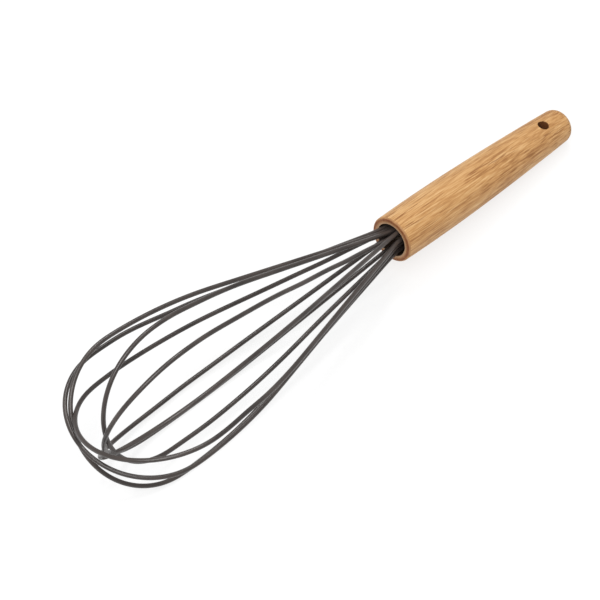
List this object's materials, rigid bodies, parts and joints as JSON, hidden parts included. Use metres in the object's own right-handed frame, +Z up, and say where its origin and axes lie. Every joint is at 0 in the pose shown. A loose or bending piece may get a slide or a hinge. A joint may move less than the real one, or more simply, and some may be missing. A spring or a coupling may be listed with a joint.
{
  "type": "balloon whisk",
  "caption": "Balloon whisk with a turned wooden handle, a cross-drilled hang hole and nested wire loops covered in dark silicone.",
  "frame": {"origin": "centre of the bounding box's bottom face: the whisk lies on a flat surface at z = 0, resting on the rear end of the handle and on two of its loops", "axes": "+X along the whisk from the handle to the balloon, +Z up"},
  "size_m": [0.3108, 0.0764, 0.0745],
  "materials": {
    "wood": "satin",
    "silicone": "matte",
    "spring_steel": "satin",
    "resin": "matte"
  },
  "bodies": {
    "root": {"handle": "wood", "wire_holder": "resin", "sleeve_1": "silicone", "sleeve_2": "silicone", "sleeve_3": "silicone", "sleeve_4": "silicone", "sleeve_5": "silicone", "sleeve_6": "silicone", "core_wire_1": "spring_steel", "core_wire_2": "spring_steel", "core_wire_3": "spring_steel", "core_wire_4": "spring_steel", "core_wire_5": "spring_steel", "core_wire_6": "spring_steel"}
  },
  "joints": []
}
